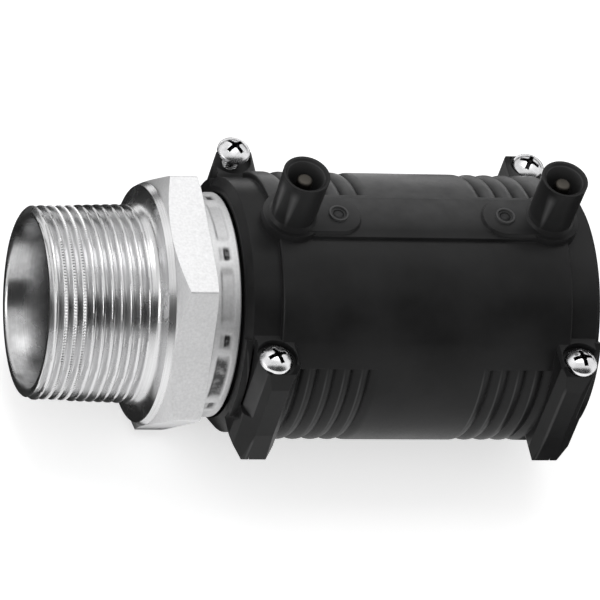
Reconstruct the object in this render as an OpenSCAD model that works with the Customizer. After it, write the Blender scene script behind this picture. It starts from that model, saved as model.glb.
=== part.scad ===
// Transition fitting that joins a 50 mm PE pipe to a steel pipe thread.
// A steel nipple is crimped on a PE stub, and an electrofusion coupler sits on the stub.
// The axis lies along X, from the thread end at x = 0 to the open pipe socket.
// Z points along the two electric terminals. Angles round the axis are counted
// from +Z towards -Y. All lengths are in millimetres.

/* [Pipe thread] */
// Major diameter of the taper thread at its gauge plane
thread_d = 47.8; // [46.5:0.1:48.5]
// Distance from the thread end to the gauge plane
gauge_len = 12.7; // [10:0.1:15]
// Pitch of the thread
thread_pitch = 2.309; // [2.2:0.001:2.32]
// Depth of the thread
thread_depth = 1.48; // [1:0.01:1.5]
// Number of thread ridges
thread_ridges = 11; // [7:1:11]
// Growth of the thread radius along the axis
thread_taper = 0.03125; // [0.02:0.001:0.04]
// Wall left between the root of the thread at its end and the bore
thread_wall = 1.5; // [1.2:0.1:3.5]

/* [Hexagon and flare] */
// Axial place where the flare leaves the thread neck
neck_x = 25.7; // [25.7:0.1:26.2]
// Axial length of the hollow flare behind the thread
flare_len = 2.1; // [1.5:0.1:2.6]
// Radius at the end of the flare
flare_r = 28.9; // [27.5:0.1:29]
// Width across the flats of the hexagon
hex_af = 59.4; // [59:0.1:62]
// Axial place of the front face of the hexagon
hex_front = 29.4; // [28.9:0.1:30]
// Axial length of the hexagon
hex_len = 9.6; // [8:0.1:12]
// Axial length of the cone that bevels the hexagon's front corners
hex_bevel = 2.4; // [1.5:0.1:3]
// Angle of one hexagon corner from the terminal direction
hex_turn = -24.6; // [-60:0.1:60]

/* [Tail and crimp sleeve] */
// Gap between the tail and the PE stub on it
tail_gap = 0.15; // [0.1:0.05:0.4]
// Wall of the tail
tail_wall = 2.85; // [2.7:0.05:4]
// Length of the tail behind the hexagon
tail_len = 25; // [22:0.5:30]
// Height of the shoulder between the hexagon and the crimp sleeve
sleeve_gap = 0.5; // [0.3:0.1:1]
// Length of the crimp sleeve
sleeve_len = 6.8; // [5.5:0.1:8]
// Wall of the crimp sleeve
sleeve_wall = 2.4; // [2.1:0.1:3]
// Depth of the crimp marks in the sleeve
crimp_depth = 0.45; // [0.2:0.05:0.6]
// Number of crimp marks round the sleeve
crimp_count = 8; // [6:1:12]
// Number of grip grooves round the tail under the sleeve
grip_count = 3; // [2:1:4]
// Thickness of the O-ring section as squeezed
ring_t = 1.86; // [1.6:0.02:1.9]
// Axial distance between the two O-rings
ring_step = 5; // [4:0.5:6]

/* [Coupler] */
// Outer diameter of the PE pipe
pipe_d = 50; // [49.8:0.05:50.1]
// Wall thickness of the PE pipe
pipe_wall = 4.6; // [4.5:0.05:4.65]
// Gap between the crimp sleeve and the coupler
coupler_gap = 0.6; // [0.2:0.1:1]
// Length of the coupler
coupler_len = 90.4; // [89:0.2:96]
// Wall of the coupler's middle part
body_wall = 7.6; // [7:0.1:9]
// How far the clamp rings at both ends lie below the middle part
end_step = 1.6; // [0.8:0.1:2]
// Axial width of the clamp rings
end_w = 8.4; // [7.5:0.1:9]
// Radial clearance of the pipe in the socket
socket_gap = 0.2; // [0.1:0.05:0.3]
// Length of the cone at each socket mouth
mouth_len = 2.2; // [1.5:0.1:3]
// Width of the stop ring in the middle of the socket
stop_w = 1.6; // [1:0.1:3]
// Height of the stop ring above the socket wall
stop_h = 1.4; // [1:0.1:2]

/* [Grooves] */
// Distance of the outermost groove from the coupler's end
groove_in = 14.2; // [13.9:0.1:14.9]
// Distance from one groove to the next
groove_pitch = 4.4; // [4:0.05:4.6]
// Depth of the grooves between the round ribs
groove_depth = 1.05; // [0.6:0.05:1.4]
// Number of grooves on the thread side
grooves_near = 5; // [3:1:6]
// Number of grooves on the socket side
grooves_end = 4; // [3:1:6]
// Angle at which the grooves start, on the front
groove_from = 68; // [50:1:80]
// Angle at which the grooves stop, on the back
groove_to = 345; // [320:1:350]

/* [Terminals and indicators] */
// Distance of each terminal from the coupler's end
term_in = 12.4; // [12:0.1:13.5]
// Height of the terminal rims above the coupler's middle part
term_h = 15.8; // [14:0.1:20]
// Outer radius of the terminal shroud at its rim
term_r = 5.8; // [5.4:0.05:6]
// Outer radius of the terminal shroud at its foot
term_foot_r = 5.4; // [5.2:0.05:6]
// Radius of the round base of each terminal
term_base_r = 7.4; // [7:0.1:7.8]
// Inner radius of the terminal shroud
term_bore_r = 4.6; // [4.2:0.05:4.8]
// Depth of the terminal shroud from its rim
term_depth = 12; // [9:0.1:13]
// Radius of the contact pins
pin_r = 2; // [1.8:0.05:2.4]
// Distance of the pin tips below the terminal rims
pin_low = 1.6; // [1:0.1:3]
// Distance of each indicator from its terminal
mark_from_term = 11.5; // [10:0.1:13]
// Half the width of the raised pads
pad_half = 6.5; // [6:0.1:7]
// Height of the pads above the coupler's middle part
pad_h = 1.5; // [1.1:0.1:2.2]
// Height of the flat strip above the coupler's middle part
strip_h = 0.5; // [0.3:0.1:0.8]
// Radius of the indicator pegs
mark_r = 1.3; // [1:0.05:1.6]

/* [Heating wire] */
// Diameter of the heating wire
wire_d = 1.1; // [0.8:0.05:1.2]
// Turns of wire in each fusion zone
wire_turns = 9; // [6:1:9]
// Axial distance between turns
wire_pitch = 2.2; // [1.8:0.05:2.25]

/* [Clamps] */
// Distance of the clamp screws from the coupler's ends
clamp_in = 6.4; // [6.2:0.1:6.9]
// Sideways distance of the clamp screws from the pipe's skin
clamp_out = 6.6; // [6.4:0.1:7]
// Wall of the clamp lugs outside the screws' axes
lug_out = 5; // [4.8:0.1:6.5]
// Half the axial width of the clamp lugs
lug_half = 5.8; // [5.5:0.1:6]
// Height of the screw seats above the axis
seat_z = 16.5; // [14:0.1:17]
// Depth of the lug bottoms below the axis
lug_low = 16; // [15:0.1:17]
// Height of the notch floor in each lug above the axis
notch_low = -0.5; // [-2:0.1:4]
// Wall between the notch and the clamp screw
notch_skin = 1.8; // [1.4:0.1:2.1]
// Width of the slit that frees the clamp strap
slit_w = 1; // [0.6:0.1:1.2]
// Nominal diameter of the clamp screws
screw_d = 4; // [3.5:0.1:4.2]
// Length of the clamp screws under the head
screw_len = 30; // [28:0.5:31]
// Diameter of the screw heads
head_d = 8.2; // [7.5:0.1:9]
// Height of the screw heads
head_h = 2.9; // [2.2:0.1:3.2]
// How far the back screw at the thread end is backed out
screw_lift = 4; // [0:0.1:5]
// Width across the flats of the nuts
nut_af = 7; // [6.5:0.1:7.1]
// Height of the nuts
nut_h = 3.2; // [2.8:0.1:3.4]

/* [Hidden] */
$fn = 96;

// Small clearances between pieces that sit in one another
fit_gap = 0.05;
loose_gap = 0.1;
// Overlap of cutting tools past the faces they cut
over = 1;

// Places along the axis
hex_back = hex_front + hex_len;
sleeve_x = hex_back + sleeve_gap;
sleeve_end = sleeve_x + sleeve_len;
coupler_x = sleeve_end + coupler_gap;
coupler_end = coupler_x + coupler_len;
mid_x = coupler_x + coupler_len / 2;
tail_end = hex_back + tail_len;

// Radii that follow the pipe
pipe_r = pipe_d / 2;
pipe_bore_r = pipe_r - pipe_wall;
socket_r = pipe_r + socket_gap;
tail_r = pipe_bore_r - tail_gap;
tail_bore_r = tail_r - tail_wall;
sleeve_r = pipe_r + 0.1 + sleeve_wall;
body_r = socket_r + body_wall;
end_r = body_r - end_step;

// Places that follow the coupler's ends
groove_far = coupler_len / 2 - groove_in;
term_off = coupler_len / 2 - term_in;
mark_off = term_off - mark_from_term;
clamp_off = coupler_len / 2 - clamp_in;

// Heights that follow the coupler's skin
term_top = body_r + term_h;
pad_top = body_r + pad_h;
strip_top = body_r + strip_h;

// Sideways places of the screws and the lugs
clamp_t = pipe_r + clamp_out;
lug_reach = clamp_t + lug_out;

// Bore behind the thread
bore_r = thread_d / 2 - gauge_len * thread_taper - thread_depth - thread_wall;
flange_t = 1.5;
flange_r = tail_r + loose_gap;
stub_x = sleeve_x + flange_t + loose_gap;
stub_end = mid_x - stop_w / 2 - loose_gap;
mouth_r = sleeve_r + loose_gap;

// End faces of the coupler and the bevel round them
face_r = mouth_r + 1.4;
face_bevel = 1.5;
face_to = 56;

// Tail details
ring_seat_r = pipe_bore_r - ring_t - 0.04;
ring_slot_w = 2.6;
ring_x = tail_end - 5 - ring_step;
grip_step = 1.7;
grip_x = stub_x + 1.2;
grip_depth = 0.5;

// Wire details
wire_r = wire_d / 2;
wire_path_r = socket_r + 0.3 + wire_r;
wire_bed_r = wire_path_r + wire_r + loose_gap;
wire_len = wire_turns * wire_pitch;
wire_start = mid_x - groove_far + slit_w / 2 + 1.8;
wire_steps = 28;
wire_sides = 6;
link_half = wire_r + 0.2;

// Terminal details
pin_foot = wire_path_r + wire_r + fit_gap;
pin_tip = term_top - pin_low;
shroud_floor = term_top - term_depth;
pin_neck_r = pin_r - 0.5;
pin_full_z = shroud_floor + 0.3;
pin_flange_r = pin_r + 1;
pin_flange_t = 1.2;
pin_flange_z = pin_foot + 3.5;
pad_bevel = 1.7;
mark_low = body_r - 3.8;
mark_ring_r = mark_r + 1.15;
mark_cup_r = mark_r + 0.65;
mark_cup_t = 0.5;
mark_ring_h = 0.6;

// Clamp details
notch_wall = 1.3;
notch_slant = 21.7;
head_room = 0.9;
shank_hole_r = screw_d / 2 + loose_gap;
nut_top = -lug_low + 5.8;
nut_hole_af = nut_af + 2 * loose_gap;
cheek_h = 1.9;
lug_slab = 2 * (lug_half + lug_out + over);
lug_deep = clamp_t - 12;
strap_from = 100;
slit_from = 144;

// Turns a profile drawn as radius and axial place round the X axis
module turned(angle = 360) {
    rotate([0, 90, 0]) rotate_extrude(angle = angle) children();
}

// Turns a profile through a part of the circle, between two angles from +Z
module turned_arc(from, to) {
    rotate([from - 180, 0, 0]) turned(to - from) children();
}

// Straight round bar or bore along X
module bar(r, from, to) {
    translate([from, 0, 0]) rotate([0, 90, 0]) cylinder(r = r, h = to - from);
}

// Cone along X
module taper(r1, r2, from, to) {
    translate([from, 0, 0]) rotate([0, 90, 0]) cylinder(r1 = r1, r2 = r2, h = to - from);
}

// Hexagonal column along Z, across its flats, flats facing Y
module hex_column(af, from, to) {
    translate([0, 0, from]) cylinder(d = af / cos(30), h = to - from, $fn = 6);
}

// Steel nipple: thread, flare, hexagon and tail in one turned piece

function crest_r(x) = thread_d / 2 + (x - gauge_len) * thread_taper;
function root_r(x) = crest_r(x) - thread_depth;
end_bevel = 0.75;
first_ridge = 1.3;
function ridge_x(i) = first_ridge + i * thread_pitch;

// Four corners of one thread ridge, as radius and axial place
function ridge(x) = [
    [root_r(x), x - 0.46 * thread_pitch],
    [crest_r(x), x - 0.09 * thread_pitch],
    [crest_r(x), x + 0.09 * thread_pitch],
    [root_r(x), x + 0.46 * thread_pitch]
];

// Quarter-round hollow from the neck out to the flare's rim
function hollow(r1, x1, r2, x2, n) = [
    for (i = [0:n]) [r2 - (r2 - r1) * cos(90 * i / n), x1 + (x2 - x1) * sin(90 * i / n)]
];

module nipple_outline() {
    ridges = [for (i = [0:thread_ridges - 1]) each ridge(ridge_x(i))];
    whole = [for (i = [1:len(ridges) - 1]) ridges[i]];
    polygon(concat(
        [[bore_r - over, 0], [crest_r(0) - end_bevel, 0]],
        whole,
        hollow(crest_r(neck_x), neck_x, flare_r, neck_x + flare_len, 6),
        [[hex_af / 2 - 0.1, hex_front], [hex_af / 2 - 0.1, hex_back], [bore_r - over, hex_back]]
    ));
}

// Hexagon with its front corners bevelled by a cone and its back corners eased
module nipple_hexagon() {
    corner_r = hex_af / 2 / cos(30);
    intersection() {
        rotate([hex_turn, 0, 0]) rotate([0, 90, 0])
            translate([0, 0, hex_front]) cylinder(r = corner_r, h = hex_len, $fn = 6);
        turned() polygon([
            [0, hex_front], [hex_af / 2 - 0.1, hex_front],
            [corner_r + 0.05, hex_front + hex_bevel],
            [corner_r + 0.05, hex_back - 0.35], [hex_af / 2 + 2.6, hex_back], [0, hex_back]
        ]);
    }
}

// Tail with grip grooves under the sleeve and two O-ring seats
module nipple_tail() {
    difference() {
        union() {
            bar(sleeve_r - 3.4, hex_back - over, sleeve_x);
            bar(tail_r, hex_back, tail_end - 1);
            taper(tail_r, tail_r - 0.8, tail_end - 1, tail_end);
        }
        for (i = [0:grip_count - 1])
            turned() polygon([
                [tail_r + over, grip_x + i * grip_step],
                [tail_r - grip_depth, grip_x + i * grip_step],
                [tail_r, grip_x + (i + 0.7) * grip_step],
                [tail_r + over, grip_x + (i + 0.7) * grip_step]
            ]);
        for (i = [0:1])
            turned() translate([ring_seat_r, ring_x + i * ring_step - ring_slot_w / 2])
                square([over + tail_r - ring_seat_r, ring_slot_w]);
    }
}

// Bore: wide at the thread, then a cone down to the tail
module nipple_bore() {
    cone_x = neck_x + 2;
    cone_end = hex_front + 5;
    turned() polygon([
        [0, -over], [bore_r + 0.9 + over, -over], [bore_r + 0.9, 0], [bore_r, 0.9],
        [bore_r, cone_x], [tail_bore_r, cone_end], [tail_bore_r, tail_end + over], [0, tail_end + over]
    ]);
}

module steel_nipple() {
    color("#bcbfc1") difference() {
        union() {
            turned() nipple_outline();
            nipple_hexagon();
            nipple_tail();
        }
        nipple_bore();
    }
}

// Crimp sleeve: a steel cup that presses the PE stub on the tail

module crimp_sleeve() {
    jaw = 360 / crimp_count;
    band_x = sleeve_x + 1.9;
    band_w = 2.9;
    color("#c4c6c6") difference() {
        turned() polygon([
            [flange_r, sleeve_x], [sleeve_r - 0.5, sleeve_x], [sleeve_r, sleeve_x + 0.5],
            [sleeve_r, sleeve_end - 0.3], [sleeve_r - 0.3, sleeve_end],
            [pipe_r + loose_gap, sleeve_end], [pipe_r + loose_gap, sleeve_x + flange_t],
            [flange_r, sleeve_x + flange_t]
        ]);
        for (i = [0:crimp_count - 1])
            turned_arc(jaw * i - 0.4 * jaw, jaw * i + 0.4 * jaw)
                translate([sleeve_r - crimp_depth, band_x]) square([over, band_w]);
        for (i = [0:crimp_count - 1])
            rotate([jaw * (i + 0.5), 0, 0]) translate([band_x + band_w / 2, 0, sleeve_r + 0.5])
                sphere(r = 1.1);
    }
}

// O-rings between the tail and the PE stub

module o_ring(x) {
    color("#2a2a2c") turned()
        translate([ring_seat_r + 0.02 + ring_t / 2, x]) circle(d = ring_t, $fn = 32);
}

module o_ring_inner() {
    o_ring(ring_x);
}

module o_ring_outer() {
    o_ring(ring_x + ring_step);
}

// PE stub: a piece of pipe between the crimp sleeve and the coupler's stop

module pe_stub() {
    color("#232325") difference() {
        bar(pipe_r, stub_x, stub_end);
        bar(pipe_bore_r, stub_x - over, stub_end + over);
    }
}

// Coupler: one moulding with clamps, terminals, pads and grooves

// Outline of the moulding, as radius and axial place
module coupler_outline() {
    step_x = coupler_x + end_w;
    step_end = coupler_end - end_w;
    polygon([
        [socket_r - stop_h, coupler_x], [end_r, coupler_x], [end_r, step_x],
        [body_r - 0.3, step_x], [body_r, step_x + 0.3], [body_r, step_end - 0.3],
        [body_r - 0.3, step_end], [end_r, step_end], [end_r, coupler_end],
        [socket_r - stop_h, coupler_end]
    ]);
}

// Socket: two bores with conical mouths, a stop ring and beds for the wire
module coupler_socket() {
    for (side = [-1, 1]) {
        near = side < 0 ? coupler_x - over : mid_x + stop_w / 2;
        far = side < 0 ? mid_x - stop_w / 2 : coupler_end + over;
        bar(socket_r, near, far);
        bed = side < 0 ? wire_start - wire_d : 2 * mid_x - wire_start - wire_len - wire_d;
        bar(wire_bed_r, bed, bed + wire_len + 2 * wire_d);
    }
    bar(socket_r - stop_h, coupler_x - over, coupler_end + over);
    taper(mouth_r, socket_r, coupler_x, coupler_x + mouth_len);
    taper(socket_r, mouth_r, coupler_end - mouth_len, coupler_end);
}

// Channel along the inside that links both windings and the terminal pins
module wire_channel() {
    translate([mid_x - term_off - link_half, -link_half, socket_r - over])
        cube([2 * (term_off + link_half), 2 * link_half, wire_bed_r - socket_r + over]);
}

// Round ribs: everything outside a row of shallow arcs is cut away
module rib_cutter(from, count) {
    half = groove_pitch / 2;
    arc_r = (half * half + groove_depth * groove_depth) / (2 * groove_depth);
    turned_arc(groove_from, groove_to) difference() {
        translate([body_r - groove_depth, from - half])
            square([groove_depth + over, count * groove_pitch]);
        for (i = [0:count])
            translate([body_r - arc_r, from + (i - 0.5) * groove_pitch]) circle(r = arc_r);
    }
}

// Raised tongue that runs from a terminal foot to its indicator
module pad(from, to) {
    low = body_r - 5;
    tall = pad_top - low;
    for (x = [from, to])
        translate([x, 0, low]) cylinder(r1 = pad_half + pad_bevel, r2 = pad_half - 1, h = tall);
    translate([min(from, to), 0, 0]) rotate([90, 0, 90]) linear_extrude(abs(to - from))
        polygon([
            [-pad_half - pad_bevel, low], [pad_half + pad_bevel, low],
            [pad_half - 1, pad_top], [1 - pad_half, pad_top]
        ]);
}

// Flat strip between the two pads
module strip(from, to) {
    translate([from, -pad_half + 0.2, body_r - 4])
        cube([to - from, 2 * pad_half - 0.4, strip_top - body_r + 4]);
}

// Terminal shroud with its foot
module shroud(x) {
    translate([x, 0, body_r - 4])
        cylinder(r1 = term_foot_r, r2 = term_r, h = term_top - body_r + 4);
    translate([x, 0, body_r - 4]) cylinder(r = term_base_r, h = pad_top - body_r + 3.8);
    translate([x, 0, pad_top - 0.5]) cylinder(r1 = term_foot_r + 1, r2 = term_foot_r, h = 1.4);
}

// Space for a contact pin, its flange and the shroud cavity
module shroud_cavity(x) {
    translate([x, 0, shroud_floor]) cylinder(r = term_bore_r, h = term_depth + over);
    translate([x, 0, term_top - 0.6]) cylinder(r1 = term_bore_r, r2 = term_bore_r + 0.6, h = 0.6);
    translate([x, 0, wire_path_r])
        cylinder(r = pin_neck_r + fit_gap, h = shroud_floor - wire_path_r + over);
    translate([x, 0, pin_flange_z - fit_gap])
        cylinder(r = pin_flange_r + fit_gap, h = pin_flange_t + 2 * fit_gap);
}

// Ring that stands round an indicator
module mark_ring(x) {
    translate([x, 0, pad_top - 0.5]) cylinder(r = mark_ring_r, h = mark_ring_h + 0.5);
}

// Hole for an indicator peg, open at the top
module mark_hole(x) {
    translate([x, 0, mark_low - fit_gap]) cylinder(r = mark_r + fit_gap, h = pad_top);
    translate([x, 0, pad_top + mark_ring_h - mark_cup_t]) cylinder(r = mark_cup_r, h = mark_cup_t + over);
}

// Places a clamp part: end -1 is the thread end, side -1 is the front
module at_clamp(end, side) {
    translate([mid_x + end * clamp_off, 0, 0]) mirror([end > 0 ? 1 : 0, 0, 0])
        mirror([0, side < 0 ? 1 : 0, 0]) children();
}

// Clamp lug: the plan, the end view and the side view of one block, cut from each other.
// X runs towards the coupler's middle and Y outwards.
module lug() {
    top = seat_z + cheek_h;
    intersection() {
        translate([0, 0, -lug_low]) linear_extrude(lug_low + top) polygon([
            [-5.4, lug_deep], [lug_half, lug_deep], [lug_half, lug_reach - 2.6],
            [lug_half - 2.1, lug_reach], [-0.8, lug_reach], [-4.4, lug_reach - 2.6],
            [-5.4, lug_reach - 4.6]
        ]);
        rotate([90, 0, 90]) translate([0, 0, -lug_slab / 2]) linear_extrude(lug_slab) polygon([
            [lug_deep, -lug_low], [lug_reach - 0.9, -lug_low], [lug_reach, 10.3 - lug_low],
            [lug_reach, seat_z - 5], [lug_reach - 0.9, seat_z], [lug_reach - 2.6, top], [lug_deep, top]
        ]);
        translate([0, lug_reach + over, 0]) rotate([90, 0, 0])
            linear_extrude(lug_reach + over - lug_deep) polygon([
                [4.5, -lug_low], [lug_half, 3 - lug_low], [lug_half, top - 0.8],
                [lug_half - 0.8, top], [-4.7, top], [-4.7, 13 - lug_low], [-5.4, 10.3 - lug_low],
                [-5.4, 5 - lug_low], [-1.8, -lug_low]
            ]);
    }
}

// Notch between the end ring and the screw column, open to the outside and to the top.
// Its inner wall stands at a slant, a set distance from the screw's axis.
module lug_notch() {
    slot_x = -clamp_in + 1.7;
    deep = socket_r + notch_wall;
    wall_r = shank_hole_r + notch_skin;
    near = (slot_x + 0.5 + wall_r * cos(notch_slant)) / sin(notch_slant);
    function wall(t) = [0, clamp_t]
        + wall_r * [-cos(notch_slant), sin(notch_slant)] + t * [sin(notch_slant), cos(notch_slant)];
    translate([0, 0, notch_low]) linear_extrude(seat_z + cheek_h + over - notch_low) polygon([
        [slot_x, lug_reach + over], [slot_x, deep], [slot_x + 0.5, deep],
        wall(near), wall(lug_out + over)
    ]);
}

// Screw hole, room for the screw head, and the hexagonal pocket that holds the nut from below
module lug_holes() {
    translate([0, clamp_t, seat_z]) cylinder(r = head_d / 2 + head_room, h = head_h + screw_lift + over);
    translate([0, clamp_t, -lug_low - over]) cylinder(r = shank_hole_r, h = lug_low + seat_z + 2 * over);
    translate([0, clamp_t, 0]) rotate([0, 0, 30])
        hex_column(nut_hole_af, -lug_low - over, nut_top + loose_gap);
}

// Bevel between the lugs on the upper half of the end ring
module face_cut() {
    turned_arc(-face_to, face_to) polygon([
        [face_r, coupler_x - fit_gap], [face_r, coupler_x], [end_r, coupler_x + face_bevel],
        [end_r + over, coupler_x + face_bevel], [end_r + over, coupler_x - fit_gap]
    ]);
}

// Frees the clamp strap: a bevel on the lower half and a slit beside it
module strap_cut() {
    bevel = end_r - mouth_r;
    turned_arc(strap_from, 360 - strap_from) polygon([
        [mouth_r, coupler_x - fit_gap], [end_r + 0.2, coupler_x + bevel], [end_r + 0.2, coupler_x - fit_gap]
    ]);
    turned_arc(slit_from, 360 - slit_from)
        translate([socket_r - over, mid_x - groove_far - slit_w / 2])
            square([body_r - socket_r + 2 * over, slit_w]);
}

module both_ends() {
    children();
    translate([2 * mid_x, 0, 0]) mirror([1, 0, 0]) children();
}

module coupler_body() {
    left_x = mid_x - term_off;
    right_x = mid_x + term_off;
    color("#1c1c1e") difference() {
        union() {
            difference() {
                turned() coupler_outline();
                rib_cutter(mid_x - groove_far, grooves_near);
                rib_cutter(mid_x + groove_far - (grooves_end - 1) * groove_pitch, grooves_end);
                both_ends() strap_cut();
                both_ends() face_cut();
            }
            strip(left_x, right_x);
            pad(left_x, mid_x - mark_off);
            pad(right_x, mid_x + mark_off);
            shroud(left_x);
            shroud(right_x);
            mark_ring(mid_x - mark_off);
            mark_ring(mid_x + mark_off);
            for (end = [-1, 1], side = [-1, 1]) at_clamp(end, side) lug();
        }
        coupler_socket();
        wire_channel();
        shroud_cavity(left_x);
        shroud_cavity(right_x);
        mark_hole(mid_x - mark_off);
        mark_hole(mid_x + mark_off);
        for (end = [-1, 1], side = [-1, 1]) at_clamp(end, side) {
            lug_notch();
            lug_holes();
        }
    }
}

// Heating wire: one wire from pin to pin, wound in both fusion zones.
// Its path lies on a cylinder, as axial place and angle.

function winding(from) = [
    for (i = [0:wire_turns * wire_steps])
        [from + wire_pitch * i / wire_steps, 360 * i / wire_steps]
];

function wire_path() = concat(
    [[mid_x - term_off, 0]],
    winding(wire_start),
    winding(2 * mid_x - wire_start - wire_len),
    [[mid_x + term_off, 0]]
);

function outward(a) = [0, -sin(a), cos(a)];
function on_path(p) = [p[0], 0, 0] + wire_path_r * outward(p[1]);
function unit(v) = v / norm(v);

module heating_wire() {
    path = wire_path();
    last = len(path) - 1;
    places = [for (p = path) on_path(p)];
    points = [
        for (k = [0:last])
            let (along = unit(places[min(k + 1, last)] - places[max(k - 1, 0)]),
                 up = outward(path[k][1]),
                 side = unit(cross(along, up)),
                 rise = cross(side, along))
            for (j = [0:wire_sides - 1])
                places[k] + wire_r * (cos(360 * j / wire_sides) * rise + sin(360 * j / wire_sides) * side)
    ];
    walls = [
        for (k = [0:last - 1], j = [0:wire_sides - 1])
            let (a = k * wire_sides + j,
                 b = k * wire_sides + (j + 1) % wire_sides)
            each [[a, b, b + wire_sides], [a, b + wire_sides, a + wire_sides]]
    ];
    start_cap = [for (j = [wire_sides - 1:-1:0]) j];
    end_cap = [for (j = [0:wire_sides - 1]) last * wire_sides + j];
    color("#b87333") polyhedron(points, concat(walls, [start_cap, end_cap]));
}

// Contact pins of the terminals

module terminal_pin(x) {
    color("#c9b037") translate([x, 0, 0]) {
        translate([0, 0, pin_foot]) cylinder(r = pin_neck_r, h = pin_full_z - pin_foot);
        translate([0, 0, pin_full_z]) cylinder(r = pin_r, h = pin_tip - 0.6 - pin_full_z);
        translate([0, 0, pin_tip - 0.6]) cylinder(r1 = pin_r, r2 = pin_r - 0.6, h = 0.6);
        translate([0, 0, pin_flange_z]) cylinder(r = pin_flange_r, h = pin_flange_t);
    }
}

module terminal_pin_left() {
    terminal_pin(mid_x - term_off);
}

module terminal_pin_right() {
    terminal_pin(mid_x + term_off);
}

// Fusion indicators: small pegs that rise when the joint has melted

module indicator(x) {
    color("#2b2b2d") translate([x, 0, mark_low]) {
        cylinder(r = mark_r, h = pad_top - mark_low);
        translate([0, 0, pad_top - mark_low]) cylinder(r1 = mark_r, r2 = mark_r - 0.4, h = 0.3);
    }
}

module indicator_left() {
    indicator(mid_x - mark_off);
}

module indicator_right() {
    indicator(mid_x + mark_off);
}

// Clamp screws and nuts

// Pan head with a cross recess, on a plain shank
module clamp_screw(lift = 0) {
    edge = 0.9;
    crown = head_h - edge;
    crown_r = (head_d * head_d / 4 + crown * crown) / (2 * crown);
    color("#d5d8da") translate([0, clamp_t, seat_z + fit_gap + lift]) difference() {
        union() {
            translate([0, 0, -screw_len + 0.8]) cylinder(d = screw_d, h = screw_len - 0.8);
            translate([0, 0, -screw_len]) cylinder(d1 = screw_d - 1.6, d2 = screw_d, h = 0.8);
            cylinder(d = head_d, h = edge);
            intersection() {
                translate([0, 0, head_h - crown_r]) sphere(r = crown_r);
                cylinder(d = head_d, h = head_h);
            }
        }
        for (a = [0, 90]) rotate([0, 0, a + 20]) translate([-2.2, -0.4, head_h - 1.5])
            cube([4.4, 0.8, 2]);
    }
}

module clamp_nut() {
    color("#c9cccf") translate([0, clamp_t, 0]) difference() {
        rotate([0, 0, 30]) hex_column(nut_af, nut_top - nut_h, nut_top);
        translate([0, 0, nut_top - nut_h - over])
            cylinder(r = screw_d / 2 + fit_gap, h = nut_h + 2 * over);
    }
}

module clamp_screw_front_left() {
    at_clamp(-1, -1) clamp_screw();
}

module clamp_screw_back_left() {
    at_clamp(-1, 1) clamp_screw(screw_lift);
}

module clamp_screw_front_right() {
    at_clamp(1, -1) clamp_screw();
}

module clamp_screw_back_right() {
    at_clamp(1, 1) clamp_screw();
}

module clamp_nut_front_left() {
    at_clamp(-1, -1) clamp_nut();
}

module clamp_nut_back_left() {
    at_clamp(-1, 1) clamp_nut();
}

module clamp_nut_front_right() {
    at_clamp(1, -1) clamp_nut();
}

module clamp_nut_back_right() {
    at_clamp(1, 1) clamp_nut();
}

steel_nipple();
crimp_sleeve();
o_ring_inner();
o_ring_outer();
pe_stub();
coupler_body();
heating_wire();
terminal_pin_left();
terminal_pin_right();
indicator_left();
indicator_right();
clamp_screw_front_left();
clamp_screw_back_left();
clamp_screw_front_right();
clamp_screw_back_right();
clamp_nut_front_left();
clamp_nut_back_left();
clamp_nut_front_right();
clamp_nut_back_right();
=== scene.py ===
"""Looks of a PE to steel transition fitting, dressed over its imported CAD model.

The row frame is kept: metres, the pipe axis along +X from the thread's end, +Z along the
electric terminals. Angles round the axis count from +Z towards -Y. Sizes in the classes are
in millimetres, as on a drawing, and become metres when a mesh is made.
"""

import functools
import logging
import math
from dataclasses import dataclass, field
from enum import Enum

import bpy
import numpy as np
from mathutils import Matrix, Vector

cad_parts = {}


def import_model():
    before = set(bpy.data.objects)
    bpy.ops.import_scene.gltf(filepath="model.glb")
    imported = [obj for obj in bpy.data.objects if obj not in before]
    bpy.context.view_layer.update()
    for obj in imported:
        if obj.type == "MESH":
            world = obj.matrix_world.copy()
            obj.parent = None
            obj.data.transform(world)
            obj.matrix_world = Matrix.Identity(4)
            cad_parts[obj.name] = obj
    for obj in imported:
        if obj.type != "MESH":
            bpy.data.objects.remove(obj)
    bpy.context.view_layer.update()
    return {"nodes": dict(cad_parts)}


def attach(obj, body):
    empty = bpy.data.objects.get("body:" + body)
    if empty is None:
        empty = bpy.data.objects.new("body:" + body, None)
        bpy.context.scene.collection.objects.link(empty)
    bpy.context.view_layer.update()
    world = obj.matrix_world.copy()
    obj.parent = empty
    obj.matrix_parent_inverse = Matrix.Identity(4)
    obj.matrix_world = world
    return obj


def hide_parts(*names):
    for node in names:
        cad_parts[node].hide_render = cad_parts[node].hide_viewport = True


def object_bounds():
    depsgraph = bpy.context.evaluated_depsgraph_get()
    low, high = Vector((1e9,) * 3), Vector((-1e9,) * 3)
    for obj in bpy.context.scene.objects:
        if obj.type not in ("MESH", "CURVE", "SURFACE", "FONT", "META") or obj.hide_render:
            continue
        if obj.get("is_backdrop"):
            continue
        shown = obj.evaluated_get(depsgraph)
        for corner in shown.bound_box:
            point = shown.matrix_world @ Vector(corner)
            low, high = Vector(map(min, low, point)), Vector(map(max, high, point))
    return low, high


LOG = logging.getLogger("fitting")
MM = 0.001
BODY = "root"
SEEN_RAYS = ("Is Camera Ray", "Is Glossy Ray", "Is Transmission Ray")

# Sockets of a colour mix by number, because their names repeat
MIX_COLORS = (6, 7)
MIX_RESULT = 2

# Places on the coupler in millimetres: its middle on the axis, and ways off the middle or axis
MIDDLE = 92.1
TERMINAL_OFF = 32.8
INDICATOR_OFF = 21.3
CLAMP_OFF = 38.8
CLAMP_OUT = 31.6

Array = np.ndarray
Material = bpy.types.Material
Socket = bpy.types.NodeSocket
Pair = tuple[float, float]
Triple = tuple[float, float, float]


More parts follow.
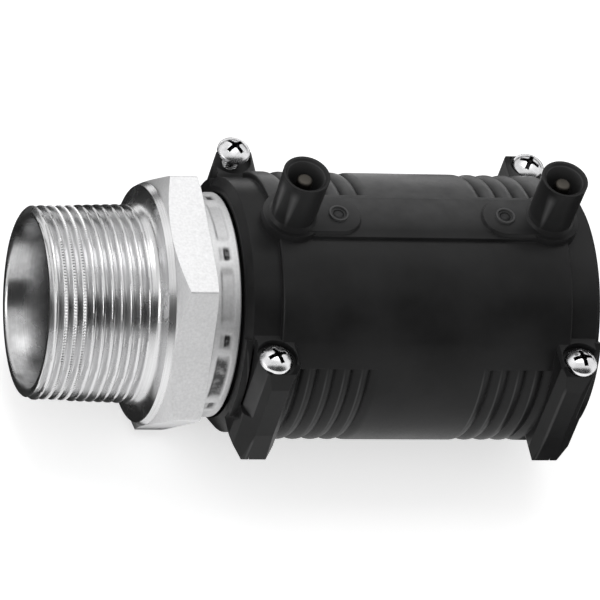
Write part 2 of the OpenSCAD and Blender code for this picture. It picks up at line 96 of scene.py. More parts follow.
class Side(Enum):
    """The two ends of the coupler, by the sign of the way from its middle."""

    LEFT = -1
    RIGHT = 1


class Flank(Enum):
    """The two sides of the coupler, by the sign of Y."""

    FRONT = -1
    BACK = 1


@dataclass(frozen=True)
class Site:
    """Where a small upright piece stands: its way off the middle, its end and its side.

    Without a side it stands on the coupler's top line.
    """

    off: float
    side: Side
    flank: Flank | None = None

    @property
    def name(self) -> str:
        """The words for the place, such as left or front_left."""
        words = [self.side.name] if self.flank is None else [self.flank.name, self.side.name]
        return "_".join(words).lower()

    def move(self, points: Array, height: float = 0.0) -> Array:
        """Points of a piece about its own axis, moved to the place and up by a height."""
        out = 0.0 if self.flank is None else self.flank.value * CLAMP_OUT
        return points + np.array([MIDDLE + self.side.value * self.off, out, height])


# Shapes that the pieces share


def smooth(value: Array, low: float, high: float) -> Array:
    """Smooth step from 0 at low to 1 at high, with the cubic 3t^2 - 2t^3.

    Args:
        value: where the step is read.
        low: the value at which the step leaves 0.
        high: the value at which it reaches 1.

    Returns:
        An array of the shape of value.
    """
    t = np.clip((value - low) / (high - low), 0.0, 1.0)
    return t * t * (3.0 - 2.0 * t)


def window(value: Array, half: float, edge: float) -> Array:
    """1 where |value| is under half, falling smoothly to 0 over the next edge."""
    return 1.0 - smooth(np.abs(value), half, half + edge)


def around(count: int) -> Array:
    """Evenly spaced angles of one whole turn, in radians, without the closing one."""
    return np.linspace(0.0, 2.0 * math.pi, count, endpoint=False)


def on_axis(x: Array, r: Array, phi: Array) -> Array:
    """Points at axial place x and radius r round the X axis: (x, -r sin phi, r cos phi).

    Args:
        x: axial places.
        r: radii.
        phi: angles from +Z towards -Y, in radians.

    Returns:
        An array of points, one more dimension than the inputs.
    """
    x, r, phi = np.broadcast_arrays(x, r, phi)
    return np.stack([x, -r * np.sin(phi), r * np.cos(phi)], axis=-1)


def upright(r: Array, z: Array, phi: Array) -> Array:
    """Points of a body of revolution about its own Z axis: (r cos phi, r sin phi, z)."""
    r, z, phi = np.broadcast_arrays(r, z, phi)
    return np.stack([r * np.cos(phi), r * np.sin(phi), z], axis=-1)


def outline(corners: list[Pair]) -> Array:
    """The corners of a turned outline, as a column of places and one of radii.

    Args:
        corners: (place along the axis, radius) of each corner.
    """
    return np.array(corners).T[:, :, None]


def stacked(phi: Array, *parts: tuple[Array, Array]) -> tuple[Array, Array]:
    """Sets of rows put one after another and spread over the angles.

    Args:
        phi: the angles of the grid.
        parts: places and radii of each set of rows, as grids or columns.

    Returns:
        All the places and all the radii.
    """
    grids = [np.broadcast_arrays(x, r, phi)[:2] for x, r in parts]
    return np.vstack([x for x, _ in grids]), np.vstack([r for _, r in grids])


def padded(marks: Array, rows: Array, value: float = 0.0) -> Array:
    """Marks with one value added for each of some further rows."""
    return np.pad(marks, ((0, len(rows)), (0, 0)), constant_values=value)


def hexagon(phi: Array, flats: float, corner: float, crisp: float = 220.0) -> Array:
    """Radius of a hexagon with eased corners, as a power mean over its six flats.

    The radius is half the width across flats, divided by the p-norm of the cosines between the
    angle and each flat's normal. A high power gives a crisp corner.

    Args:
        phi: angles in radians.
        flats: width across the flats.
        corner: angle of one corner, in radians.
        crisp: the power p.

    Returns:
        The radius at each angle.
    """
    normals = corner + math.pi / 6 + np.arange(6) * math.pi / 3
    cosines = np.clip(np.cos(np.asarray(phi)[..., None] - normals), 0.0, None)
    return flats / 2 / np.sum(cosines**crisp, axis=-1) ** (1.0 / crisp)


def corner_angles(corner: float, per_side: int, packing: float = 0.88) -> Array:
    """Angles of a hexagon's grid, packed closer at the corners.

    Within a side the angle runs as s - packing sin(2 pi s) / 2 pi, so its step is smallest
    where a corner stands.

    Args:
        corner: angle of one corner, in radians.
        per_side: number of grid lines on each side.
        packing: 0 for even steps, and up to 1 for the closest ones at the corners.

    Returns:
        The angles of one whole turn.
    """
    s = np.arange(per_side) / per_side
    packed = s - packing * np.sin(2 * math.pi * s) / (2 * math.pi)
    sides = np.arange(6)[:, None] + packed[None, :]
    return corner + sides.ravel() * math.pi / 3


def link(name: str, data: bpy.types.ID) -> bpy.types.Object:
    """Makes an object of the data and links it to the scene."""
    item = bpy.data.objects.new(name, data)
    bpy.context.scene.collection.objects.link(item)
    return item


@dataclass
class Skin:
    """A grid of points in millimetres that becomes one closed mesh.

    Rows run along a profile and columns run round the piece. The columns always close. The
    rows either close on themselves, or end in two poles. Marks are numbers that the material
    reads at each point.
    """

    name: str
    points: Array
    closed_rows: bool = True
    sharp_deg: float = 32.0
    marks: dict[str, Array] = field(default_factory=dict)

    def faces(self) -> tuple[Array, Array]:
        """Four-sided faces between the rows, and three-sided ones round the poles.

        Returns:
            The quads and the triangles, as arrays of vertex numbers.
        """
        rows, cols = self.points.shape[:2]
        number = np.arange(rows * cols).reshape(rows, cols)
        if self.closed_rows:
            number = np.vstack([number, number[:1]])
        right = np.roll(number, -1, axis=1)
        quads = np.stack([number[:-1], number[1:], right[1:], right[:-1]], axis=-1)
        if self.closed_rows:
            return quads.reshape(-1, 4), np.zeros((0, 3), int)
        start, end = rows * cols, rows * cols + 1
        first = np.stack([np.full(cols, start), number[0], right[0]], axis=-1)
        last = np.stack([np.full(cols, end), right[-1], number[-1]], axis=-1)
        return quads.reshape(-1, 4), np.vstack([first, last])

    def mesh(self) -> bpy.types.Mesh:
        """Makes the mesh, turns its faces outwards and marks its sharp edges."""
        verts = self.points.reshape(-1, 3)
        if not self.closed_rows:
            verts = np.vstack([verts, *(self.points[end].mean(axis=0) for end in (0, -1))])
        verts = verts * MM
        quads, tris = self.faces()
        split = np.vstack([quads[:, [0, 1, 2]], quads[:, [0, 2, 3]], tris])
        a, b, c = (verts[split[:, k]] for k in range(3))
        if np.einsum("ij,ij->i", a, np.cross(b, c)).sum() < 0:
            quads, tris = quads[:, ::-1], tris[:, ::-1]
        mesh = bpy.data.meshes.new(self.name)
        mesh.from_pydata(verts.tolist(), [], [*quads.tolist(), *tris.tolist()])
        mesh.validate()
        mesh.shade_smooth()
        mesh.set_sharp_from_angle(angle=math.radians(self.sharp_deg))
        for name, marks in self.marks.items():
            values = np.zeros(len(verts), np.float32)
            values[: self.points[..., 0].size] = np.broadcast_to(marks, self.points.shape[:2]).flat
            layer = mesh.attributes.new(name, "FLOAT", "POINT")
            layer.data.foreach_set("value", values)
        return mesh

    def settle(self, material: Material, node: str) -> None:
        """Makes the piece with its material, its body and the CAD node it stands for.

        Args:
            material: what the piece is dressed in.
            node: the CAD node that it replaces.
        """
        piece = link(self.name, self.mesh())
        piece.data.materials.append(material)
        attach(piece, BODY)
        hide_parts(node)
        LOG.info("%s: %d faces", piece.name, len(piece.data.polygons))


# Finishes


class Value:
    """A number or colour on its way through a node tree, open to the signs of arithmetic."""

    def __init__(self, sheet: "NodeSheet", socket: Socket) -> None:
        """Keeps the socket that the value comes from, and its sheet."""
        self.sheet, self.socket = sheet, socket

    def step(self, what: str, other: "Value | float" = 0.0) -> "Value":
        """One step of arithmetic with another value or a number."""
        return self.sheet.value(0, "ShaderNodeMath", self, other, operation=what)

    __add__ = functools.partialmethod(step, "ADD")
    __sub__ = functools.partialmethod(step, "SUBTRACT")
    __mul__ = functools.partialmethod(step, "MULTIPLY")
    __truediv__ = functools.partialmethod(step, "DIVIDE")
    __abs__ = functools.partialmethod(step, "ABSOLUTE")

    def __rsub__(self, number: float) -> "Value":
        """A number less this value."""
        return self.sheet.value(0, "ShaderNodeMath", number, self, operation="SUBTRACT")

    def spread(
        self, low: float, high: float, to_low: float = 0.0, to_high: float = 1.0
    ) -> "Value":
        """Maps the value from one range to another, held at both ends."""
        return self.sheet.value(0, "ShaderNodeMapRange", self, low, high, to_low, to_high)

    def rise(self, low: float, high: float, foot: float = 0.0) -> "Value":
        """The foot's value where a length is under low millimetres, and 1 where over high."""
        return self.spread(low * MM, high * MM, foot, 1.0)

    def fall(self, low: float, high: float, foot: float = 0.0) -> "Value":
        """1 where a length is under low millimetres, and the foot's value where over high."""
        return self.spread(low * MM, high * MM, 1.0, foot)


def length(one: Value, two: Value) -> Value:
    """The length of a vector of two parts."""
    return (one * one + two * two).step("SQRT")


def capped(*parts: Value) -> Value:
    """All the parts added, up to 1."""
    return sum(parts[1:], start=parts[0]).step("MINIMUM", 1.0)


class NodeSheet:
    """The node tree of a material or a world, with short ways to add and join nodes."""

    def __init__(self, owner: bpy.types.ID, output: str = "ShaderNodeOutputMaterial") -> None:
        """Empties the owner's node tree and adds its output node."""
        owner.use_nodes = True
        self.owner = owner
        self.tree = owner.node_tree
        self.tree.nodes.clear()
        self.output = self.add(output)

    @classmethod
    def material(cls, name: str) -> "NodeSheet":
        """The sheet of a new material."""
        return cls(bpy.data.materials.new(name))

    def feed(self, target: Socket, value: object) -> None:
        """Joins a value to the target, or sets the target to a plain number or colour."""
        if isinstance(value, Value):
            self.tree.links.new(value.socket, target)
        elif target.type == "RGBA":
            target.default_value = (*value, 1)
        else:
            target.default_value = value

    def add(self, kind: str, *inputs: object, **values: object) -> bpy.types.Node:
        """Adds a node and fills in its settings and sockets.

        Args:
            kind: Blender's name for the node's type.
            inputs: what its first sockets get, in their order.
            values: its settings and other sockets by name, with underscores for spaces.

        Returns:
            The node.
        """
        node = self.tree.nodes.new(kind)
        for key, value in values.items():
            if hasattr(node, key):
                setattr(node, key, value)
            else:
                self.feed(node.inputs[key.replace("_", " ")], value)
        for target, value in zip(node.inputs, inputs):
            self.feed(target, value)
        return node

    def value(self, output: int | str, kind: str, *inputs: object, **values: object) -> Value:
        """Adds a node and gives one of its outputs."""
        return Value(self, self.add(kind, *inputs, **values).outputs[output])

    def place(self) -> Value:
        """Object coordinates."""
        return self.value("Object", "ShaderNodeTexCoord")

    def mark(self, name: str) -> Value:
        """A number that the mesh carries at each point."""
        return self.value("Fac", "ShaderNodeAttribute", attribute_name=name)

    def noise(self, scale: float, detail: float, stretch: Triple = (1, 1, 1)) -> Value:
        """Noise of the given scale in object coordinates, from 0 to 1."""
        where = self.value(0, "ShaderNodeMapping", self.place(), Scale=stretch)
        return self.value("Fac", "ShaderNodeTexNoise", where, Scale=scale, Detail=detail)

    def mix(
        self, factor: Value, one: Value | Triple, two: Value | Triple, how: str = "MIX"
    ) -> Value:
        """A colour mixed from two by a factor, each one worked out or plain."""
        node = self.add("ShaderNodeMix", factor, data_type="RGBA", blend_type=how)
        for number, color in zip(MIX_COLORS, (one, two)):
            self.feed(node.inputs[number], color)
        return Value(self, node.outputs[MIX_RESULT])

    def drift(self, value: Value, color: Triple, low: float, high: float) -> Value:
        """A colour that drifts with a value, from low times its own tone to high times."""
        return self.mix(value, shade(color, low), shade(color, high))

    def bump(self, height: Value, strength: float, depth: float, **base: Value) -> Value:
        """A normal bumped by a height times depth in millimetres, over a base Normal if given."""
        values = {"Height": height, "Strength": strength, "Distance": depth * MM}
        return self.value(0, "ShaderNodeBump", **values, **base)

    def seen(self) -> Value:
        """1 for rays that show a thing to the camera, also in a mirror or through glass."""
        path = self.add("ShaderNodeLightPath")
        straight, mirrored, through = (Value(self, path.outputs[name]) for name in SEEN_RAYS)
        return straight.step("MAXIMUM", mirrored).step("MAXIMUM", through)

    def finish(self, kind: str, *inputs: object, **values: object) -> bpy.types.ID:
        """Adds the last shader, joins it to the output and returns the tree's owner."""
        self.feed(self.output.inputs["Surface"], self.value(0, kind, *inputs, **values))
        return self.owner


def shade(color: Triple, by: float) -> Triple:
    """A colour times a number, up to 1."""
    return tuple(min(1.0, part * by) for part in color)


@dataclass(frozen=True)
class Steel:
    """Steel with turning marks where the piece is machined and a grainy skin elsewhere.

    Each bump is a strength and a depth in millimetres.
    """

    name: str
    color: Triple = (0.68, 0.68, 0.685)
    grainy_color: Triple = (0.75, 0.75, 0.755)
    rough_turned: float = 0.26
    rough_grainy: float = 0.58
    ring_scale: float = 5200.0
    ring_stretch: Triple = (1.0, 0.012, 0.012)
    ring_bump: Pair = (0.16, 0.06)
    grain_scale: float = 1500.0
    grain_bump: Pair = (0.35, 0.1)
    cloud_scale: float = 95.0
    blotch_scale: float = 520.0
    pressed_tone: float = 0.3

    def material(self) -> Material:
        """Builds the material.

        The mark "machined" says how much of each pattern shows: rings are noise along the axis
        alone, and the grain is noise in all directions. The second mark paints shade, in blotches,
        into the beds that a tool has pressed in and into the nipple's bore.
        """
        sheet = NodeSheet.material(self.name)
        machined = sheet.mark("machined")
        rings = sheet.noise(self.ring_scale, 2.0, self.ring_stretch)
        grain = sheet.noise(self.grain_scale, 5.0)
        cloud = sheet.noise(self.cloud_scale, 4.0)
        rings_on = rings * machined
        grain_on = grain * (1.0 - machined)
        tone = ((rings_on + grain_on) * 0.6 + cloud * 0.4).spread(0.3, 0.7)
        grainy = sheet.drift(tone, self.grainy_color, 0.86, 1.08)
        color = sheet.mix(machined, grainy, sheet.drift(tone, self.color, 0.82, 1.1))
        blotch = sheet.noise(self.blotch_scale, 3.0).spread(0.32, 0.56, 0.6)
        pressed = sheet.mark("pressed") * blotch
        rings_up = sheet.bump(rings_on, *self.ring_bump)
        rough = machined.spread(0.0, 1.0, self.rough_grainy, self.rough_turned)
        return sheet.finish(
            "ShaderNodeBsdfPrincipled",
            Metallic=1.0,
            Base_Color=sheet.mix(pressed, color, (self.pressed_tone,) * 3, "MULTIPLY"),
            Roughness=rough + cloud.spread(0.3, 0.7, -0.04, 0.06),
            Normal=sheet.bump(grain_on, *self.grain_bump, Normal=rings_up),
        )


@dataclass(frozen=True)
class Metal:
    """Small bright metal parts: screws, nuts, pins and wire."""

    name: str
    color: Triple
    roughness: float = 0.22
    spot_scale: float = 420.0
    fine_scale: float = 3780.0
    fine_bump: Pair = (0.12, 0.05)
    pressed_tone: float = 0.02

    def material(self) -> Material:
        """Builds the material: a metal whose tone and gloss drift in soft spots.

        Where its darkening mark is 1, as in a screw's recess, the metal is painted nearly black as
        shade.
        """
        sheet = NodeSheet.material(self.name)
        spots = sheet.noise(self.spot_scale, 4.0)
        color = sheet.drift(spots.spread(0.35, 0.65), self.color, 0.8, 1.08)
        dark = (self.pressed_tone,) * 3
        return sheet.finish(
            "ShaderNodeBsdfPrincipled",
            Metallic=1.0,
            Base_Color=sheet.mix(sheet.mark("pressed"), color, dark, "MULTIPLY"),
            Roughness=spots.spread(0.3, 0.7, self.roughness - 0.05, self.roughness + 0.1),
            Normal=sheet.bump(sheet.noise(self.fine_scale, 2.0), *self.fine_bump),
        )


@dataclass(frozen=True)
class Spot:
    """The shaded place in metres: along the axis, across it, up, and off the middle."""

    along: Value
    side: Value
    height: Value
    off_middle: Value


@dataclass(frozen=True)
class PaintedLight:
    """Painted light on the black coupler: a sheen, highlights between ribs, on shrouds and lugs,
    and lifted shade.

    Lines are the first and last valley of each set of ribs, where highlights are painted. The
    painted streaks on a shroud are each given by the place of its axis and a direction from it in
    degrees. Block edges are ways inboard of the clamp screw's axis, at the thread's end and at the
    socket's, and block tops the heights where they end. The painted sheen faces a direction in Y
    and Z, given as a pair.
    """

    top_sheen: float = 0.9
    lines: tuple[Pair, ...] = ((63.3, 76.5), (107.7, 120.9))
    line_pitch: float = 4.4
    highlights: tuple[Pair, ...] = ((59.3, 196.0), (59.3, 236.0), (124.9, 230.0))
    notch_slant: float = 21.7
    notch_wall: float = 3.9
    block_edges: Pair = (-0.8, 3.7)
    block_tops: Pair = (-7.0, 13.0)
    sheen_facing: Pair = (0.5, 0.866)
    color: Triple = (0.11, 0.11, 0.111)

    def valley_highlights(self, spot: Spot) -> Value:
        """Thin painted highlights along the valleys between the ribs, on the front only.

        The distance to the nearest valley is read along the axis, and the lines fade out above
        and below the middle of the front.
        """
        front = spot.side.fall(-26.0, -22.0) * spot.height.rise(-16.0, -4.0)
        front = front * spot.height.fall(8.0, 13.0)
        parts = []
        for first, last in self.lines:
            cycles = (spot.along - first * MM) * (1 / (self.line_pitch * MM))
            line = cycles.step("PINGPONG", 0.5).spread(0.02, 0.075, 1.0, 0.0)
            begun = spot.along.rise(first - 1.2, first - 1.0)
            parts.append(line * begun * spot.along.fall(last + 1.0, last + 1.2) * front)
        return capped(*parts)

    def shroud_streaks(self, spot: Spot) -> Value:
        """Painted highlight streaks that run down the shrouds.

        Each streak is a narrow strip round a direction from the shroud's own axis, so it is read
        from the distances along and across that direction. It widens upwards.
        """
        span = spot.height.rise(34.6, 38.5) * spot.height.fall(45.0, 47.4)
        width = spot.height.spread(35.0 * MM, 47.0 * MM, 0.5 * MM, 1.5 * MM)
        parts = []
        for axis, azimuth in self.highlights:
            cos, sin = math.cos(math.radians(azimuth)), math.sin(math.radians(azimuth))
            over = spot.along - axis * MM
            across = over * -sin + spot.side * cos
            outward = over * cos + spot.side * sin
            streak = (abs(across) / width).spread(0.1, 1.0, 0.75, 0.0)
            parts.append(streak * outward.rise(4.7, 5.1) * outward.fall(6.6, 6.9) * span)
        return capped(*parts)

    def lug_highlights(self, spot: Spot) -> Value:
        """Painted light on the lugs: paler notch walls, and a painted highlight on an edge of each
        lug.

        All four lugs mirror one another, so distances from the middle and from the axis find them.
        The slanted wall is a plane a set distance from the screw's axis. At the thread end the
        highlight lies on the outer ridge of the nut block, at the other end on the inner edge of
        the lug.
        """
        out = abs(spot.side)
        inboard = CLAMP_OFF * MM - spot.off_middle
        slant = math.radians(self.notch_slant)
        away = inboard * -math.cos(slant) + (out - CLAMP_OUT * MM) * math.sin(slant)
        wall = abs(away - self.notch_wall * MM).fall(0.15, 0.25) * out.rise(27.0, 27.6)
        wall = wall * spot.height.rise(-0.4, 0.2) * spot.height.fall(10.0, 16.0, 0.5)
        socket_end = spot.along.rise(MIDDLE - 1.0, MIDDLE + 1.0)
        ends = (1.0 - socket_end, socket_end)
        edges = []
        for edge, top, end in zip(self.block_edges, self.block_tops, ends):
            line = abs(inboard - edge * MM).fall(0.1, 0.4)
            edges.append(line * out.rise(31.0, 33.0) * spot.height.fall(top - 2.0, top) * end)
        return capped(wall * 0.55, capped(*edges) * 0.5)

    def share(self, sheet: NodeSheet, waves: Value) -> Value:
        """How much painted light each place gets, from 0 to 1.

        A painted sheen lies where the direction from the pipe axis faces its set direction, and
        not in the grooves. The shroud cavities are painted lighter to lift their shade. The two
        shrouds mirror each other about the middle, so one distance finds both cavities.

        Args:
            sheet: the material's nodes.
            waves: noise that breaks up the painted sheen.
        """
        split = sheet.add("ShaderNodeSeparateXYZ", sheet.place())
        along, side, height = (Value(sheet, part) for part in split.outputs)
        spot = Spot(along, side, height, abs(along - MIDDLE * MM))
        radius = length(side, height)
        # Painted sheen on the faces turned towards the set direction, broken up by noise.
        facing_sheen = (side * self.sheen_facing[0] + height * self.sheen_facing[1]) / radius
        top_sheen = facing_sheen.spread(0.8, 0.99, 0.0, self.top_sheen) * waves.spread(0.3, 0.65, 0.7)
        top_sheen = top_sheen * radius.rise(31.9, 32.7, 0.05) * radius.fall(36.0, 37.0, 0.25)
        # Painted light that lifts the shade inside both shroud cavities.
        from_shroud = length(spot.off_middle - TERMINAL_OFF * MM, side)
        cavity_light = from_shroud.fall(4.5, 4.8) * height.rise(35.0, 36.0)
        # A painted highlight on the rim ring round each indicator.
        from_mark = length(spot.off_middle - INDICATOR_OFF * MM, side)
        ring = from_mark.spread(1.75 * MM, 1.95 * MM, 0.0, 0.5) * from_mark.fall(2.5, 2.7)
        ring = ring * height.rise(34.2, 34.5)
        # Painted highlights in the valleys, on the lugs and down the shrouds.
        highlights = (self.valley_highlights(spot) * 0.5, self.lug_highlights(spot), self.shroud_streaks(spot))
        return capped(top_sheen, cavity_light, ring, *highlights)


@dataclass(frozen=True)
class Moulding:
    """Black polyethylene with a faint orange-peel skin and softened edges."""

    name: str
    color: Triple = (0.016, 0.016, 0.0163)
    roughness: float = 0.36
    specular: float = 0.13
    edge: float = 0.35
    cloud_scale: float = 60.0
    wave_scale: float = 260.0
    wave_bump: Pair = (0.1, 0.25)
    skin_scale: float = 1900.0
    skin_bump: Pair = (0.1, 0.06)
    painted_light: PaintedLight | None = None

    def material(self) -> Material:
        """Builds the material.

        The tone drifts a little over the surface, the gloss drifts with it, and a narrow
        rounding of the normals stands for the mould's eased edges.
        """
        sheet = NodeSheet.material(self.name)
        cloud = sheet.noise(self.cloud_scale, 5.0)
        skin = sheet.noise(self.skin_scale, 2.0)
        waves = sheet.noise(self.wave_scale, 2.0)
        color = sheet.drift(cloud.spread(0.35, 0.65), self.color, 0.75, 1.3)
        # Painted light mixed into the colour: a sheen, pale highlights and lifted shade.
        if self.painted_light is not None:
            color = sheet.mix(self.painted_light.share(sheet, waves), color, self.painted_light.color)
        mixed = cloud * 0.6 + skin * 0.4
        eased = sheet.value(0, "ShaderNodeBevel", samples=4, Radius=self.edge * MM)
        swell = sheet.bump(waves, *self.wave_bump, Normal=eased)
        return sheet.finish(
            "ShaderNodeBsdfPrincipled",
            Specular_IOR_Level=self.specular,
            Base_Color=color,
            Roughness=mixed.spread(0.35, 0.65, self.roughness - 0.06, self.roughness + 0.08),
            Normal=sheet.bump(skin, *self.skin_bump, Normal=swell),
        )


# Sub-assemblies


@dataclass
class Nipple:
    """The steel nipple: thread, flare, hexagon and the tail inside the stub.

    The thread's crest and root are given in shares of a pitch from the crest's middle, and
    flank_ease is the share of the flank's fall that is rounded.
    """

    gauge_r: float = 23.9
    gauge_x: float = 12.7
    taper: float = 0.03125
    pitch: float = 2.309
    depth: float = 1.48
    crest_half: float = 0.1
    root_from: float = 0.46
    flank_ease: float = 0.35
    first_ridge: float = 1.3
    end_bevel: float = 0.75
    bevel_slope: float = 0.85
    serrated_ridges: int = 3
    serrations: int = 200
    serration_depth: float = 0.38
    serration_half: float = 0.22
    neck_x: float = 25.7
    flare_len: float = 2.1
    flare_r: float = 28.9
    flats: float = 59.4
    hex_front: float = 29.4
    hex_back: float = 39.0
    hex_bevel: float = 2.4
    bevel_machined: float = 0.3
    rim_out: float = 2.6
    per_side: int = 44
    corner_deg: float = -24.6
    bore_r: float = 20.52
    bore_shade: float = 0.42
    neck_wall: float = 1.2
    tail_bore_r: float = 17.4
    tail_r: float = 20.25
    tail_end: float = 64.0
    shoulder_r: float = 24.1
    shoulder_x: float = 39.5

    def crest(self, x: Array) -> Array:
        """Radius of the thread's crests, growing along the taper."""
        return self.gauge_r + (x - self.gauge_x) * self.taper

    def in_bore(self, r: Array) -> Array:
        """How much painted shade each row gets: the bore's tone in the bore, and 0 elsewhere."""
        return self.bore_shade * (r[:, :1] <= self.bore_r + 0.01)

    def thread_radius(self, x: Array, phi: Array) -> Array:
        """Radius of the threaded skin.

        The distance to the nearest crest, in pitches, is read from x - pitch * phi / 2 pi, so
        the crest climbs one pitch each turn. Flanks are straight between a narrow flat crest and
        a narrow flat root. Three turns carry fine cross notches, the first turn is cut by the
        end bevel, and the last fades into the neck.

        Args:
            x: axial places, one column.
            phi: angles, one row.

        Returns:
            The radius at each place and angle.
        """
        turn = (x - self.first_ridge) / self.pitch - phi / (2 * math.pi)
        away = np.abs(turn - np.round(turn))
        flank = np.clip((away - self.crest_half) / (self.root_from - self.crest_half), 0, 1)
        eased = smooth(away, self.crest_half, self.root_from)
        fall = eased * self.flank_ease + flank * (1.0 - self.flank_ease)
        wave = 0.5 - 0.5 * np.cos(self.serrations * phi)
        last = self.serrated_ridges
        band = smooth(turn, 0.35, 0.6) * (1.0 - smooth(turn, last + 0.1, last + 0.6))
        crest = 1.0 - smooth(away, self.crest_half, self.serration_half)
        notch = self.serration_depth * wave * band * crest
        fade = 1.0 - smooth(x, self.neck_x - 1.6, self.neck_x - 0.1)
        bevel = self.crest(np.zeros(1)) - self.end_bevel + self.bevel_slope * x
        return np.minimum(self.crest(x) - self.depth * fall * fade - notch, bevel)

    def threaded_end(self, steel: Material) -> None:
        """Builds the threaded end with the front part of the bore.

        The rows go along the thread, back through the wall at the neck and forward along the
        bore, so the piece is closed.
        """
        phi = around(3 * self.serrations)
        x = np.linspace(0.0, self.neck_x, 134)[:, None]
        bore = self.bore_r
        back = outline([
            (self.neck_x, bore + self.neck_wall), (self.neck_x, bore), (13.0, bore), (0.9, bore),
            (0.25, bore + 0.55), (0.0, bore + 0.9), (0.0, bore + 1.3),
        ])
        x, r = stacked(phi, (x, self.thread_radius(x, phi)), back)
        # Painted shade darkens the bore.
        marks = {"machined": np.ones((1, 1)), "pressed": self.in_bore(r)}
        skin = Skin("threaded_end", on_axis(x, r, phi), marks=marks, sharp_deg=50)
        skin.settle(steel, "steel_nipple")

    def hexagon_part(self, steel: Material) -> None:
        """Builds the flare, the hexagon and the tail, with the rest of the bore.

        The flare is a quarter of an ellipse. The front bevel is a cone that meets each flat in a
        curve: on the grid, its rows share the way from the cone's foot to the hexagon's radius.
        """
        corner = math.radians(self.corner_deg)
        phi = corner_angles(corner, self.per_side)
        angle = np.radians(np.linspace(0.0, 90.0, 12))[:, None]
        neck_r = float(self.crest(np.array(self.neck_x)))
        flare_x = self.neck_x + self.flare_len * np.sin(angle)
        flare_r = self.flare_r - (self.flare_r - neck_r) * np.cos(angle)
        foot = self.flats / 2 - 0.1
        top = hexagon(phi, self.flats, corner)
        slope = self.hex_bevel / (self.flats / 2 / math.cos(math.pi / 6) + 0.05 - foot)
        way = np.linspace(0.0, 1.0, 7)[:, None]
        bevel_r = foot + (top - foot)[None, :] * way
        bevel_x = self.hex_front + (bevel_r - foot) * slope
        rim = self.flats / 2 + self.rim_out
        ease = 0.35 * np.clip(top - rim, 0.0, None) / 2.0
        flank_x = np.stack([self.hex_back - ease - 0.02, np.full_like(ease, self.hex_back)])
        flank_r = np.stack([top, np.minimum(top, rim) - 0.02])
        rest = outline([
            (self.hex_back, self.shoulder_r + 0.3), (self.hex_back + 0.1, self.shoulder_r),
            (self.shoulder_x, self.shoulder_r), (self.shoulder_x, self.tail_r),
            (self.tail_end - 1, self.tail_r), (self.tail_end, self.tail_r - 0.8),
            (self.tail_end, self.tail_bore_r), (50.0, self.tail_bore_r),
            (self.hex_front + 5, self.tail_bore_r), (self.neck_x + 2, self.bore_r),
            (self.neck_x, self.bore_r), (self.neck_x, self.bore_r + self.neck_wall),
        ])
        x, r = stacked(phi, (flare_x, flare_r), (bevel_x, bevel_r), (flank_x, flank_r), rest)
        machined = np.ones((len(x), 1))
        first_flat = len(flare_x) + len(bevel_x) - 1
        machined[len(flare_x) + 1:first_flat] = self.bevel_machined
        machined[first_flat:first_flat + 3] = 0.0
        # Painted shade darkens the bore.
        marks = {"machined": machined, "pressed": self.in_bore(r)}
        skin = Skin("hexagon_part", on_axis(x, r, phi), marks=marks, sharp_deg=28)
        skin.settle(steel, "steel_nipple")

    def build(self, steel: Material) -> None:
        """Builds both pieces of the nipple."""
        self.threaded_end(steel)
        self.hexagon_part(steel)


@dataclass
class CrimpSleeve:
    """The steel sleeve with the marks of the crimping jaws."""

    start: float = 39.5
    length: float = 6.8
    radius: float = 27.5
    flange_r: float = 20.35
    flange_t: float = 1.5
    bore_r: float = 25.1
    jaws: int = 8
    first_deg: float = 14.0
    jaw_depth: float = 0.4
    band_start: float = 1.8
    band_width: float = 3.3
    dash_half: float = 0.42
    dash_len: float = 1.35
    dash_depth: float = 0.45
    smear_depth: float = 0.1
    front_deg: float = 74.0
    machined: float = 0.25
    columns: int = 560

    def outer_radius(self, x: Array, phi: Array) -> tuple[Array, Array]:
        """Radius of the outer skin, and how much painted shade each pressed place gets.

        Eight jaws press eight shallow beds with soft edges, as windows in angle times a window
        along the axis. Between two beds a ridge stays, with a short deep dash in a fainter smear.
        The beds are painted with shade, most on the front.
        """
        pitch = 2 * math.pi / self.jaws
        ridge = np.abs((phi - math.radians(self.first_deg) + pitch / 2) % pitch - pitch / 2)
        along = x - (self.start + self.band_start + self.band_width / 2)
        across = ridge * self.radius
        bed = smooth(ridge, 0.14 * pitch, 0.26 * pitch)
        bed = bed * window(along, self.band_width / 2 - 0.6, 0.9)
        dash = window(along - 0.3, self.dash_half - 0.2, 0.7)
        dash = dash * window(across, self.dash_len - 0.5, 1.1)
        smear = window(along, 1.1, 0.8) * window(across, self.dash_len - 0.1, 1.0)
        front_shade = 0.12 + 0.8 * smooth(np.cos(phi - math.radians(self.front_deg)), 0.86, 0.97)
        pressed = np.clip(bed * front_shade + dash + 0.3 * smear, 0.0, 1.0)
        depth = self.jaw_depth * bed + self.dash_depth * dash + self.smear_depth * smear
        return self.radius - depth, pressed

    def build(self, steel: Material) -> None:
        """Builds the sleeve as one closed skin."""
        phi = around(self.columns)
        end = self.start + self.length
        flange_x = self.start + self.flange_t
        x = np.linspace(self.start + 0.5, end - 0.3, 44)[:, None]
        r, pressed = self.outer_radius(x, phi[None, :])
        rest = outline([
            (end - 0.1, self.radius - 0.1), (end, self.radius - 0.3), (end, self.bore_r),
            (flange_x, self.bore_r), (flange_x, self.flange_r), (self.start, self.flange_r),
            (self.start, self.radius - 0.5), (self.start + 0.15, self.radius - 0.15),
        ])
        x, r = stacked(phi, (x, r), rest)
        marks = {"machined": np.full((1, 1), self.machined), "pressed": padded(pressed, rest[0])}
        skin = Skin("crimped_sleeve", on_axis(x, r, phi), marks=marks)
        skin.settle(steel, "crimp_sleeve")


